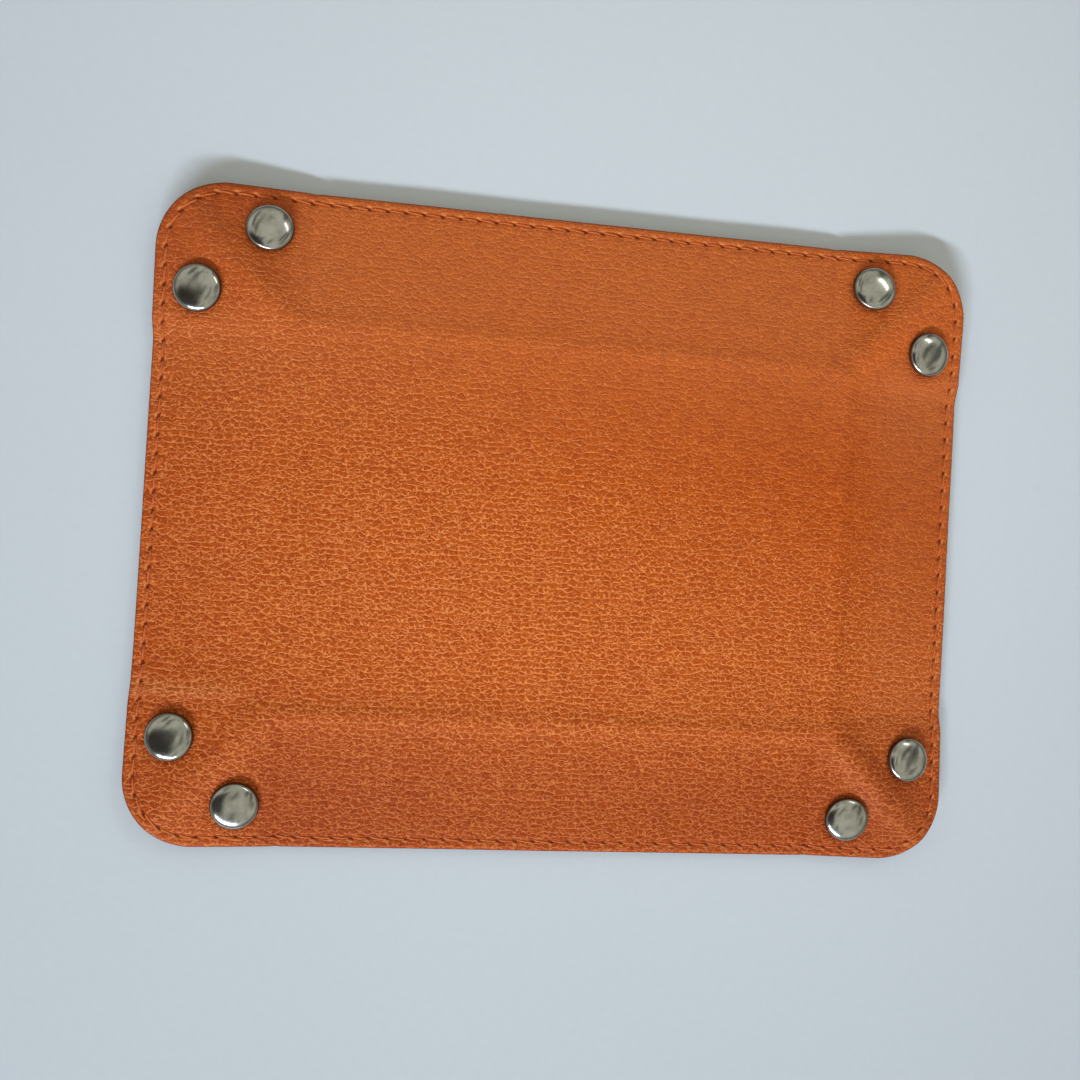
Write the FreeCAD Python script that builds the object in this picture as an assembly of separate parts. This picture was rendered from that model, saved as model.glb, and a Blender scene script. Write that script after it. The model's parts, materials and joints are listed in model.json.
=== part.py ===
import FreeCAD, Part
import math
import os

from FreeCAD import Placement, Rotation, Vector

# A soft valet tray lying face down with its snaps open: outer face up, X along its length,
# +Y its back, and Z = 0 on the surface that it lies on.

# Sheet, in millimetres
tray_length = 224.0          # flat sheet, along X
tray_width = 172.5           # flat sheet, along Y
wall_height = 35.3           # base crease to sewn edge
corner_radius = 18.0         # rounded corners of the flat sheet
cover_thickness = 1.0
lining_thickness = 0.8
board_thickness = 1.4
crease_gap = 0.3             # between two panels at a fold
open_gap = 2.0               # between a socket half and its short wall, the fold left open
diagonal_gap = 0.4           # between the two halves of a corner

# Boards
board_crease_inset = 3.0     # board edge to a fold
board_edge_inset = 6.5       # board edge to the sewn edge, inside the stitching
board_clearance = 0.2        # board edge to the side of its pocket
pocket_wall = 0.8            # lining round the edge of a board

# Folds, in degrees from the flat sheet
rest_droop = 7.0             # walls hang this far below the base
formed_angle = 90.0          # walls of the snapped tray
formed_half_turn = 45.0      # stud half against its wall in the snapped tray
formed_diagonal_turn = 180.0  # socket half against the stud half in the snapped tray

# Snaps
cap_edge_inset = 11.3        # cap centre to the sewn edge
cap_corner_inset = 7.3       # cap centre to the line of the base's end
cap_diameter = 12.5
cap_height = 2.9
cap_rim_height = 0.9
cap_wall = 0.4
cap_lip = 1.0                # rolled rim under the post disc
post_diameter = 3.0
post_bore = 2.2
post_disc_thickness = 0.4
post_flare = 0.65            # how far the flared end stands out
post_flare_thickness = 0.35
fit_clearance = 0.1          # round a post, a post disc or a spring
stud_flange_diameter = 9.2
stud_flange_thickness = 0.5
stud_neck_diameter = 4.1
stud_bulb_diameter = 4.8
socket_diameter = 10.2
socket_height = 3.4
socket_floor = 0.5
socket_mouth_clearance = 0.45
socket_chamfer = 0.6
spring_wire = 0.7
spring_split = 40.0          # degrees left open in the ring
spring_clearance = 0.2       # round the stud's bulb
snap_clearance = 0.3         # between stud and socket faces when snapped

# Sizes that follow
sheet_thickness = cover_thickness + lining_thickness
base_half_length = tray_length / 2 - wall_height
base_half_width = tray_width / 2 - wall_height
snap_gap = socket_height + stud_flange_thickness + snap_clearance
half_offset = (math.sqrt(2) - 1) * sheet_thickness + snap_gap / math.sqrt(2)
diagonal_depth = sheet_thickness + snap_gap / 2
post_radius = post_diameter / 2
hole_radius = post_radius + fit_clearance
flare_radius = post_radius + post_flare
stud_crest = snap_gap - socket_floor - 2 * post_flare_thickness - snap_clearance
mouth_radius = stud_bulb_diameter / 2 + socket_mouth_clearance
spring_radius = stud_bulb_diameter / 2 + spring_clearance + spring_wire / 2
rest_share = rest_droop / formed_angle
rest_half_turn = formed_half_turn * rest_share
rest_diagonal_turn = formed_diagonal_turn * rest_share
sheet_corner = min(corner_radius, wall_height)

up = Vector(0, 0, 1)
no_turn = Placement()


def flat_prism(outline, top, thickness):
    # A sheet of the given outline, from its top face downwards
    face = Part.Face(Part.Wire(outline))
    face.translate(Vector(0, 0, top))
    return face.extrude(Vector(0, 0, -thickness))


def polygon(points):
    corners = [Vector(x, y, 0) for x, y in points]
    return Part.makePolygon(corners + corners[:1]).Edges


def rectangle(x_low, x_high, y_low, y_high):
    return polygon([(x_low, y_low), (x_high, y_low), (x_high, y_high), (x_low, y_high)])


def revolved(profile, centre):
    # A turned piece from a closed profile of edges in the XZ plane, stood on the sheet at its centre
    solid = Part.Face(Part.Wire(profile)).revolve(Vector(0, 0, 0), up, 360)
    solid.translate(centre)
    return solid


def profile_lines(points):
    corners = [Vector(r, 0, z) for r, z in points]
    return Part.makePolygon(corners + corners[:1]).Edges


def turn_about(point, direction, angle):
    return Placement(Vector(0, 0, 0), Rotation(direction, angle), point)


# Where each fold turns, for a wall on one side and a corner in one quarter
def wall_fold(side_x, side_y, angle):
    point = Vector(side_x * base_half_length, side_y * base_half_width, -sheet_thickness)
    return turn_about(point, Vector(-side_y, side_x, 0), angle)


def half_fold(side_x, side_y, angle):
    point = Vector(side_x * (base_half_length - half_offset), 0, 0)
    return turn_about(point, Vector(0, -side_x, 0), angle)


def diagonal_fold(side_x, side_y, angle):
    point = Vector(side_x * base_half_length, side_y * base_half_width, -diagonal_depth)
    return turn_about(point, Vector(side_y, side_x, 0), angle)


# Outlines of the flat panels
def base_outline(inset):
    x = base_half_length - inset
    y = base_half_width - inset
    return rectangle(-x, x, -y, y)


def wall_outline(side_x, side_y, crease_inset, edge_inset):
    # A wall between its base crease, its sewn edge and the folds at its two ends
    near = crease_inset
    far = wall_height - edge_inset
    if side_x:
        end = base_half_width - half_offset - crease_inset
        ends = sorted(side_x * (base_half_length + step) for step in (near, far))
        return rectangle(ends[0], ends[1], -end, end)
    end = base_half_length - half_offset - crease_inset
    ends = sorted(side_y * (base_half_width + step) for step in (near, far))
    return rectangle(-end, end, ends[0], ends[1])


def half_outline(side_x, side_y, hinge_gap, on_short_wall):
    # One half of a corner, drawn as the half beside the long wall and swapped over for the other
    crease = crease_gap / 2
    start = hinge_gap - half_offset
    step = diagonal_gap / math.sqrt(2)
    centre = wall_height - sheet_corner
    low_angle = math.pi / 4 + math.asin(step / (sheet_corner * math.sqrt(2)))
    middle_angle = (low_angle + math.pi / 2) / 2

    def round_point(angle):
        return centre + sheet_corner * math.cos(angle), centre + sheet_corner * math.sin(angle)

    def placed(point):
        x, y = reversed(point) if on_short_wall else point
        return Vector(side_x * (base_half_length + x), side_y * (base_half_width + y), 0)

    hinge_low = placed((start, crease))
    hinge_high = placed((start, wall_height))
    round_start = placed((centre, wall_height))
    round_middle = placed(round_point(middle_angle))
    round_end = placed(round_point(low_angle))
    root = placed((crease - step, crease))
    return [
        Part.LineSegment(hinge_low, hinge_high).toShape(),
        Part.LineSegment(hinge_high, round_start).toShape(),
        Part.Arc(round_start, round_middle, round_end).toShape(),
        Part.LineSegment(round_end, root).toShape(),
        Part.LineSegment(root, hinge_low).toShape(),
    ]


# Layers of a panel
def cover_sheet(outline):
    return flat_prism(outline, 0, cover_thickness)


def plain_lining(outline):
    return flat_prism(outline, -cover_thickness, lining_thickness)


def stiffener(outline):
    return flat_prism(outline, -cover_thickness, board_thickness)


def pocket_lining(panel, pocket, cavity):
    # A lining that steps down over the board that it covers
    raised = flat_prism(pocket, -cover_thickness, board_thickness + lining_thickness)
    body = plain_lining(panel).fuse(raised).removeSplitter()
    return body.cut(flat_prism(cavity, -cover_thickness, board_thickness)).Solids[0]


def bored(sheet, centre):
    depth = cover_thickness + sheet_thickness
    tool = Part.makeCylinder(hole_radius, 2 * depth, centre - up * depth, up)
    return sheet.cut(tool).Solids[0]


# Snap pieces, turned about the middle of the snap with the cover's outer face at height 0
def dome_edge(radius, foot, crown):
    # Arc of a shallow dome, from its foot to its crown
    rise = crown - foot
    ball = (radius ** 2 + rise ** 2) / (2 * rise)
    half = radius / 2
    middle = crown - ball + math.sqrt(ball ** 2 - half ** 2)
    return Part.Arc(Vector(radius, 0, foot), Vector(half, 0, middle), Vector(0, 0, crown)).toShape()


def cap_shell(centre):
    outer = cap_diameter / 2
    inner = outer - cap_wall
    lip = inner - cap_lip
    roof = cap_height - cap_wall
    skirt = [(outer, cap_rim_height), (outer, cap_wall), (inner, 0), (lip, 0),
             (lip, cap_wall), (inner, cap_wall), (inner, cap_rim_height)]
    crown = Part.LineSegment(Vector(0, 0, roof), Vector(0, 0, cap_height)).toShape()
    sides = Part.makePolygon([Vector(r, 0, z) for r, z in skirt]).Edges
    outside = dome_edge(outer, cap_rim_height, cap_height)
    inside = dome_edge(inner, cap_rim_height, roof)
    return revolved([crown, outside] + sides + [inside], centre)


def post(centre, seat):
    # The flared end holds the stud or the socket at its seat below the cover's face
    disc = cap_diameter / 2 - cap_wall - fit_clearance
    low = cap_wall
    high = low + post_disc_thickness
    bore = post_bore / 2
    end = -seat - post_flare_thickness
    return revolved(profile_lines([
        (0, high), (disc, high), (disc, low), (post_radius, low), (post_radius, -seat),
        (flare_radius, -seat), (flare_radius, end), (bore, end), (bore, low), (0, low)]), centre)


def snap_stud(centre):
    flange = stud_flange_diameter / 2
    neck = stud_neck_diameter / 2
    bulb = stud_bulb_diameter / 2
    face = -sheet_thickness
    foot = face - stud_flange_thickness
    crest = face - stud_crest
    waist = (foot + crest) / 2
    return revolved(profile_lines([
        (hole_radius, face), (flange, face), (flange, foot), (neck, foot), (neck, waist),
        (bulb, waist + (crest - waist) / 2), (neck, crest), (hole_radius, crest)]), centre)


def snap_socket(centre):
    rim = socket_diameter / 2
    face = -sheet_thickness
    floor = face - socket_floor
    mouth = face - socket_height
    groove_high = (floor + mouth) / 2 + spring_wire / 2 + fit_clearance
    groove_low = groove_high - spring_wire - 2 * fit_clearance
    groove = spring_radius + spring_wire / 2 + fit_clearance
    return revolved(profile_lines([
        (hole_radius, face), (rim, face), (rim, mouth + socket_chamfer), (rim - socket_chamfer, mouth),
        (mouth_radius, mouth), (mouth_radius, groove_low), (groove, groove_low), (groove, groove_high),
        (mouth_radius, groove_high), (mouth_radius, floor), (hole_radius, floor)]), centre)


def spring_ring(centre):
    # A ring of round wire, left open at one side
    middle = -sheet_thickness - (socket_floor + socket_height) / 2
    section = Part.Face(Part.Wire(Part.makeCircle(
        spring_wire / 2, Vector(spring_radius, 0, middle), Vector(0, 1, 0))))
    ring = section.revolve(Vector(0, 0, 0), up, 360 - spring_split)
    ring.translate(centre)
    return ring


# The assembly: every piece is drawn on the flat sheet and turned by the folds that carry it
pieces = {}


def add(name, shape, placement):
    shape.Placement = placement.multiply(shape.Placement)
    pieces[name] = shape


def add_boarded_panel(name, panel, pocket, cavity, board, placement):
    add("cover_" + name, cover_sheet(panel), placement)
    add("lining_" + name, pocket_lining(panel, pocket, cavity), placement)
    add("board_" + name, stiffener(board), placement)


def add_half(kind, corner, outline, centre, seat, placement):
    name = kind + "_half_" + corner
    add("cover_" + name, bored(cover_sheet(outline), centre), placement)
    add("lining_" + name, bored(plain_lining(outline), centre), placement)
    add("cap_" + name, cap_shell(centre), placement)
    add("post_" + name, post(centre, seat), placement)


cavity_inset = board_crease_inset - board_clearance
pocket_inset = cavity_inset - pocket_wall
add_boarded_panel("base", base_outline(crease_gap / 2), base_outline(pocket_inset),
                  base_outline(cavity_inset), base_outline(board_crease_inset), no_turn)

walls = {"front": (0, -1), "back": (0, 1), "left": (-1, 0), "right": (1, 0)}
edge_step = board_crease_inset - board_edge_inset
for wall, sides in walls.items():
    add_boarded_panel(
        wall,
        wall_outline(*sides, crease_gap / 2, 0),
        wall_outline(*sides, pocket_inset, pocket_inset - edge_step),
        wall_outline(*sides, cavity_inset, cavity_inset - edge_step),
        wall_outline(*sides, board_crease_inset, board_edge_inset),
        wall_fold(*sides, rest_droop))

long_way = wall_height - cap_edge_inset
for side_y, depth_name in ((-1, "front"), (1, "back")):
    for side_x, width_name in ((-1, "left"), (1, "right")):
        corner = depth_name + "_" + width_name
        stud_centre = Vector(side_x * (base_half_length + cap_corner_inset),
                             side_y * (base_half_width + long_way), 0)
        socket_centre = Vector(side_x * (base_half_length + long_way),
                               side_y * (base_half_width + cap_corner_inset), 0)
        on_wall = wall_fold(0, side_y, rest_droop)
        on_stud_half = on_wall.multiply(half_fold(side_x, side_y, rest_half_turn))
        on_socket_half = on_stud_half.multiply(diagonal_fold(side_x, side_y, rest_diagonal_turn))
        add_half("stud", corner, half_outline(side_x, side_y, crease_gap / 2, False), stud_centre,
                 sheet_thickness + stud_crest, on_stud_half)
        add_half("socket", corner, half_outline(side_x, side_y, open_gap, True), socket_centre,
                 sheet_thickness + socket_floor, on_socket_half)
        add("stud_" + corner, snap_stud(stud_centre), on_stud_half)
        add("socket_" + corner, snap_socket(socket_centre), on_socket_half)
        add("spring_" + corner, spring_ring(socket_centre), on_socket_half)

# The tray lies on its lowest pieces
rest_height = -min(shape.optimalBoundingBox(False).ZMin for shape in pieces.values())
print("base face height", round(rest_height, 4), "half offset", round(half_offset, 4),
      "diagonal depth", round(diagonal_depth, 4))

os.makedirs("parts", exist_ok=True)
for name, shape in pieces.items():
    shape.translate(Vector(0, 0, rest_height))
    shape.exportStep(os.path.join("parts", name + ".step"))
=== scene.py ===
import json
import math

import bpy
import numpy as np
from mathutils import Euler, Matrix, Vector


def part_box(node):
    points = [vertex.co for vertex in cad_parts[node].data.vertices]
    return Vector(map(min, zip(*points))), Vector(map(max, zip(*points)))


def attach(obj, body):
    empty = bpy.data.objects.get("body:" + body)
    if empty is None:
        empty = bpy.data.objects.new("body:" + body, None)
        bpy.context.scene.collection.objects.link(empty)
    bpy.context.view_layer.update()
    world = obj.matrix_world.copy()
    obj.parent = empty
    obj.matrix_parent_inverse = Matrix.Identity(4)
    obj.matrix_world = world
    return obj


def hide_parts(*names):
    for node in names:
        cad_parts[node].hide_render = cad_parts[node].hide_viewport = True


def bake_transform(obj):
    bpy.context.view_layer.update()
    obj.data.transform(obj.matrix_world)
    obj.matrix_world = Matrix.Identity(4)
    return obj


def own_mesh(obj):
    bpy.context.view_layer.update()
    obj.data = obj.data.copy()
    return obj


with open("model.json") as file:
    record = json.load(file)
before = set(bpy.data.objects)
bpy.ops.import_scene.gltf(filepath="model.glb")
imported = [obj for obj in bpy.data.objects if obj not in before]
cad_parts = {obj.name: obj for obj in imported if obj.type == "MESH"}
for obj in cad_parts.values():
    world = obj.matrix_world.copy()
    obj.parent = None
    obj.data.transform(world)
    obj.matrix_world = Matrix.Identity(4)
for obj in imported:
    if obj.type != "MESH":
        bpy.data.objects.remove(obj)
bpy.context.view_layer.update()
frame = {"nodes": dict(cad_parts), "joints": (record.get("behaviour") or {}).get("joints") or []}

mm = 0.001
joints = {joint["name"]: joint for joint in frame["joints"]}
corners = {"front_left": (-1, -1), "front_right": (1, -1), "back_left": (-1, 1), "back_right": (1, 1)}
longWalls = {"front": -1, "back": 1}
shortWalls = {"left": -1, "right": 1}


# The sewn sheet is drawn flat, with z from its outer face, and then laid as the tray lies on the table
sheet = {
    "halfLength": 112.0 * mm,
    "halfWidth": 86.25 * mm,
    "cornerRadius": 18.0 * mm,
    "coverThickness": 1.0 * mm,
    "liningThickness": 0.8 * mm,
    "creaseX": joints["right_wall_fold"]["pos_m"][0],
    "creaseY": joints["back_wall_fold"]["pos_m"][1],
    "face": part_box("cover_base")[1].z,  # outer face of the base, which lies up
    "diagonalBend": 5.0 * mm,  # reach of the soft fold each side of a corner's diagonal
}
sheet["bend"] = sheet["creaseX"] - joints["stud_half_fold_back_right"]["pos_m"][0]
sheet["wallHeight"] = sheet["halfWidth"] - sheet["creaseY"]

seam = {
    "inset": 2.75 * mm,
    "stitchesPerQuarter": 38,
    "threadRadius": 0.25 * mm,
    "threadSides": 6,
    "threadSteps": 7,
    "threadShare": 0.8,  # of the way from hole to hole
    "arch": 0.34 * mm,
    "sink": 0.4 * mm,
    "drift": 0.22 * mm,  # the thread leaves each hole on one side and enters the next on the other
    "swing": 0.06,  # radians that a stitch turns at most
    "smallest": (0.92, 0.88, 0.8),
    "largest": (1.06, 1.1, 1.15),
    "seed": 5,
    "overlap": (17.2, 18.2, 19.2),  # stitches sewn twice where the seam ends, on the front left
    "overlapShift": 0.5 * mm,
    "nudge": 0.4 * mm,  # either way along the seam, to find its direction
    "towardsMiddle": 0.99,
}
sideRun = sheet["halfLength"] - sheet["cornerRadius"]
endRun = sheet["halfWidth"] - sheet["cornerRadius"]
turnRadius = sheet["cornerRadius"] - seam["inset"]
quarterRun = sideRun + turnRadius * math.pi / 2 + endRun
seam["pitch"] = quarterRun / seam["stitchesPerQuarter"]


def easeIn(value, reach):  # 0 below -reach, 1 above reach
    share = np.clip(value / reach * 0.5 + 0.5, 0, 1)
    return share * share * (3 - 2 * share)


def easePast(value, span):  # span gives the place and the reach
    return easeIn(value - span[0], span[1])


def bell(value, width):
    return np.exp(-(value / width) ** 2)


def foldPlaces(flat):  # how far each point lies outside the creases of the base
    return np.abs(flat[:, 0]) - sheet["creaseX"], np.abs(flat[:, 1]) - sheet["creaseY"]


def inQuarter(flat, sideX, sideY):
    return ((flat[:, 0] >= 0) == (sideX > 0)) & ((flat[:, 1] >= 0) == (sideY > 0))


def turned(points, name, share):  # swings points about a fold, from flat to where the tray rests
    pivot, axis = np.array(joints[name]["pos_m"]), np.array(joints[name]["axis"])
    angle = math.radians(-joints[name]["range_deg"][0]) * np.asarray(share)[..., None]
    arm = points - pivot
    along = (arm @ axis)[:, None] * axis
    return pivot + along + (arm - along) * np.cos(angle) + np.cross(axis, arm) * np.sin(angle)


def laid(flat):
    out, bend = np.zeros_like(flat), sheet["bend"]
    for corner, (sideX, sideY) in corners.items():
        pick = inQuarter(flat, sideX, sideY)
        points = flat[pick] + (0, 0, sheet["face"])
        longName, shortName = corner.split("_")
        outX, outY = foldPlaces(points)
        wall = easeIn(np.maximum(outX, outY), bend)
        half = wall * easeIn(outX + bend, bend)
        diagonal = wall * easeIn((outX - outY) / math.sqrt(2), sheet["diagonalBend"])
        chain = turned(points, longName + "_wall_fold", wall)
        chain = turned(chain, "stud_half_fold_" + corner, half)
        chain = turned(chain, "diagonal_fold_" + corner, diagonal)
        short = turned(points, shortName + "_wall_fold", easeIn(outX, bend))
        onShort = easeIn(-outY - bend, bend)[:, None]
        out[pick] = chain * (1 - onShort) + short * onShort
    return out


def fromEdge(flat):  # stitches run clockwise from the middle of a side, and the way in from the cut edge
    x, y, radius = np.abs(flat[:, 0]), np.abs(flat[:, 1]), sheet["cornerRadius"]
    pastX, pastY = x - sideRun, y - endRun
    turnX, turnY = np.maximum(pastX, 0), np.maximum(pastY, 0)
    depth = radius - np.hypot(turnX, turnY) - np.minimum(np.maximum(pastX, pastY), 0)
    onTurn = sideRun + turnRadius * np.arctan2(turnX, turnY)
    onEnd = sideRun + turnRadius * math.pi / 2 + endRun - y
    run = np.where((pastX <= 0) & (pastY >= pastX), x, np.where(pastY <= 0, onEnd, onTurn))
    clockwise = np.where((flat[:, 0] >= 0) == (flat[:, 1] >= 0), 1, -1)
    return clockwise * run / seam["pitch"], depth


# Soft forms of the leather
forms = {
    "ridge": {"front": 0.28 * mm, "back": 0.1 * mm, "left": 0.14 * mm, "right": 0.6 * mm},
    "ridgeWidth": 2.6 * mm,
    "fade": 2.0 * mm,  # over which a ridge or a valley ends
    "diagonal": dict(zip(corners, (0.35 * mm, 1.3 * mm, 0.4 * mm, 0.7 * mm))),
    "diagonalWidth": 4.4 * mm,
    "diagonalStart": (4.0 * mm, 8.0 * mm),  # place and reach, counted out along x and y together
    "diagonalEnd": (46.0 * mm, 14.0 * mm),
    "valley": 0.34 * mm,  # where a stud half folds the other way
    "valleyWidth": 1.1 * mm,
    "open": dict(zip(corners, (0.6 * mm, -0.15 * mm, -0.1 * mm, -0.15 * mm))),
    "openWidth": (8.0 * mm, 2.4 * mm),  # towards the wall and towards the corner
    "openShift": 1.5 * mm,
    "openStart": (6.0 * mm, 6.0 * mm),
    "sway": 0.07 * mm,
    "swayWaves": 16,
    "swayTurn": 90.0,  # radians a metre
    "swaySeed": 11,
    "dish": 0.36 * mm,  # the caps press the leather in
    "dishReach": 8.8 * mm,
    "dishCurve": 1.8,
    "groove": 0.14 * mm,
    "grooveWidth": 0.85 * mm,
    "hole": 0.2 * mm,
    "holeWidth": 0.65 * mm,
    "pucker": 0.11 * mm,
    "puckerWidth": 2.4 * mm,
    "edgeDrop": 0.45 * mm,
    "edgeRound": 1.3 * mm,
    "edgeCurve": 2.2,
}
caps = {
    "edgeInset": 11.3 * mm,
    "cornerInset": 7.3 * mm,
    "radius": 6.25 * mm,
    "rimHeight": 0.45 * mm,
    "height": 2.65 * mm,
    "rolled": ((0.08 * mm, 0.2 * mm), (0.3 * mm, -0.1 * mm)),  # way in from the rim, and height
    "skirt": (0.45 * mm, -0.45 * mm),  # reaches down into the dish in the leather
    "dome": 2.4,  # 2 would be an ellipse, more is flatter on top
    "rings": 30,
    "segments": 72,
}
swayDraw = np.random.default_rng(forms["swaySeed"])
swayWaves = swayDraw.normal(size=(forms["swayWaves"], 2)) * forms["swayTurn"]
swayPhase = swayDraw.uniform(0, 2 * math.pi, forms["swayWaves"])


def capCentre(kind, sideX, sideY):
    near, far = caps["cornerInset"], sheet["wallHeight"] - caps["edgeInset"]
    outX, outY = (near, far) if kind == "stud" else (far, near)
    return sideX * (sheet["creaseX"] + outX), sideY * (sheet["creaseY"] + outY)


def lifted(flat):  # ridges and valleys along the folds, shared by cover and lining
    outX, outY = foldPlaces(flat)
    fade = forms["fade"]
    longRidge = np.where(flat[:, 1] < 0, forms["ridge"]["front"], forms["ridge"]["back"])
    shortRidge = np.where(flat[:, 0] < 0, forms["ridge"]["left"], forms["ridge"]["right"])
    lift = longRidge * bell(outY, forms["ridgeWidth"]) * easeIn(-outX, fade)
    lift += shortRidge * bell(outX, forms["ridgeWidth"]) * easeIn(-outY, fade)
    onDiagonal = bell((outX - outY) / math.sqrt(2), forms["diagonalWidth"])
    onDiagonal *= easePast(outX + outY, forms["diagonalStart"])
    onDiagonal *= 1 - easePast(outX + outY, forms["diagonalEnd"])
    away = outY + sheet["bend"] + forms["openShift"]
    onOpen = bell(away, np.where(away < 0, *forms["openWidth"])) * easePast(outX, forms["openStart"])
    for corner, (sideX, sideY) in corners.items():
        here = inQuarter(flat, sideX, sideY)
        lift += here * forms["diagonal"][corner] * onDiagonal
        lift += here * forms["open"][corner] * onOpen
    lift -= forms["valley"] * bell(outX + sheet["bend"], forms["valleyWidth"]) * easeIn(outY - fade, fade)
    waves = np.sin(flat[:, :2] @ swayWaves.T + swayPhase).sum(1)
    return lift + forms["sway"] * waves / math.sqrt(forms["swayWaves"])


def pressed(flat):  # what shows on the outer face alone
    run, depth = fromEdge(flat)
    toSeam, toHole = depth - seam["inset"], (run - np.round(run)) * seam["pitch"]
    sunk = forms["groove"] * bell(toSeam, forms["grooveWidth"])
    sunk += forms["hole"] * bell(np.hypot(toSeam, toHole), forms["holeWidth"])
    sunk += forms["pucker"] * np.cos(2 * math.pi * run) * bell(toSeam, forms["puckerWidth"])
    sunk += forms["edgeDrop"] * (1 - np.clip(depth / forms["edgeRound"], 0, 1)) ** forms["edgeCurve"]
    for sideX, sideY in corners.values():
        for kind in ("stud", "socket"):
            away = np.hypot(*(flat[:, :2] - capCentre(kind, sideX, sideY)).T)
            share = np.clip((forms["dishReach"] - away) / (forms["dishReach"] - caps["radius"]), 0, 1)
            sunk += forms["dish"] * share ** forms["dishCurve"]
    return -sunk


# Grain stretched and worn along the folds; the band at the front left is painted sheen, and the lines along
# the long creases are partly painted sheen
wearAndSheenBands = {
    "diagonal": {"frontRight": 0.45, "others": 0.25},  # the front right corner was folded most
    "diagonalShift": 2.0 * mm,
    "diagonalWidth": 3.6 * mm,
    "diagonalStart": (4.0 * mm, 8.0 * mm),
    "pulled": 1.2,  # painted sheen on the fold at the front left, where its wall ends
    "pulledShift": 1.5 * mm,
    "pulledWidth": 2.2 * mm,
    "pulledStart": (10.0 * mm, 8.0 * mm),
    "long": {"front": 0.18, "back": 0.05},
    "longWidth": 2.2 * mm,
    "longFade": 3.0 * mm,
}


def wearAndSheenAt(flat):  # how much the folds have stretched the grain, and where sheen is painted on them
    outX, outY = foldPlaces(flat)
    worn = bell((outX - outY) / math.sqrt(2) + wearAndSheenBands["diagonalShift"], wearAndSheenBands["diagonalWidth"])
    worn *= easePast(outX + outY, wearAndSheenBands["diagonalStart"])
    worn *= np.where((flat[:, 0] > 0) & (flat[:, 1] < 0), *wearAndSheenBands["diagonal"].values())
    pulled = bell(outY + sheet["bend"] + wearAndSheenBands["pulledShift"], wearAndSheenBands["pulledWidth"])
    pulled *= wearAndSheenBands["pulled"] * easePast(outX, wearAndSheenBands["pulledStart"])
    worn = np.maximum(worn, pulled * ((flat[:, 0] < 0) & (flat[:, 1] < 0)))
    longWorn = np.where(flat[:, 1] < 0, *wearAndSheenBands["long"].values())
    return np.maximum(worn, longWorn * bell(outY, wearAndSheenBands["longWidth"]) * easeIn(-outX, wearAndSheenBands["longFade"]))


# Boards show only as raised pockets on the inside
boards = {
    "creaseInset": 3.0 * mm,
    "edgeInset": 6.5 * mm,
    "thickness": 1.4 * mm,
    "slope": (0.25 * mm, 1.7 * mm),  # outside a board, where the lining starts down and where it lies flat
}


def pocketed(flat):
    outX, outY = foldPlaces(flat)
    inset, (high, low) = boards["creaseInset"], boards["slope"]
    top = sheet["wallHeight"] - boards["edgeInset"]
    onBase = np.maximum(outX, outY) + inset
    onLong = np.maximum.reduce([outX + sheet["bend"] + inset, inset - outY, outY - top])
    onShort = np.maximum.reduce([outY + sheet["bend"] + inset, inset - outX, outX - top])
    outside = np.minimum.reduce([onBase, onLong, onShort])
    return boards["thickness"] * easeIn((high + low) / 2 - outside, (low - high) / 2)


# Grids over the flat sheet, counted outwards from a corner of the base
grid = {
    "edgeRows": (0, 0.1, 0.3, 0.6, 0.9, 1.2, 1.5, 1.9, 2.2, 2.5, 2.75, 3.0, 3.3, 3.6, 4.1, 4.7, 5.5, 6.5),
    "creaseStep": 0.6 * mm,
    "openStep": 1.3 * mm,
    "alongStep": 0.58 * mm,
    "baseStep": 1.2 * mm,
    "studRun": 36.0 * mm,  # along a stud half, for the count of its columns
    "socketColumns": (24, 50),
    "turnPoints": 60,
    "merge": 0.001 * mm,
}


def steps(start, end, size):
    return np.linspace(start, end, max(2, int(math.ceil(abs(end - start) / size)) + 1))


def rise(coarse):  # from a crease, 0, to the cut edge, 1, with close rows at both ends
    height, bend = sheet["wallHeight"], sheet["bend"]
    edge = height - np.array(grid["edgeRows"][::coarse]) * mm
    low = steps(0, bend, grid["creaseStep"] * coarse)
    middle = steps(bend, edge[-1], grid["openStep"] * coarse)
    return np.concatenate([low[:-1], middle[:-1], edge[::-1]]) / height


def lattice(xs, ys):
    return np.stack(np.meshgrid(xs, ys), -1)


def wayAlong(points):
    return np.concatenate([[0], np.cumsum(np.hypot(*np.diff(points, axis=0).T))])


def curved(points, count):  # evenly along a polyline
    points = np.array(points)
    walked = wayAlong(points)
    at = np.linspace(0, walked[-1], count)
    return np.stack([np.interp(at, walked, points[:, 0]), np.interp(at, walked, points[:, 1])], -1)


def coons(inner, outer, first, last):  # a patch between four sides
    walked = wayAlong(first)
    side, up = np.linspace(0, 1, len(inner))[None, :, None], (walked / walked[-1])[:, None, None]
    ruled = (1 - side) * first[:, None] + side * last[:, None] + (1 - up) * inner[None] + up * outer[None]
    low, high = (1 - side) * inner[0] + side * inner[-1], (1 - side) * outer[0] + side * outer[-1]
    return ruled - (1 - up) * low - up * high


def turnPoints(start, end):  # on the rounded corner, with the angle from the long side's direction
    angle = np.linspace(start, end, grid["turnPoints"])
    centre = sheet["wallHeight"] - sheet["cornerRadius"]
    return centre + sheet["cornerRadius"] * np.stack([np.sin(angle), np.cos(angle)], -1)


splitAngle = math.acos(sheet["diagonalBend"] / sheet["cornerRadius"]) - math.pi / 4
splitFoot = np.array([sheet["bend"] - math.sqrt(2) * sheet["diagonalBend"], sheet["bend"]])


def splitLine(coarse):  # between the stud half's piece and the socket half's, beside the diagonal
    top = turnPoints(splitAngle, splitAngle)[0]
    return splitFoot + (top - splitFoot) * rise(coarse)[:, None]


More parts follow.
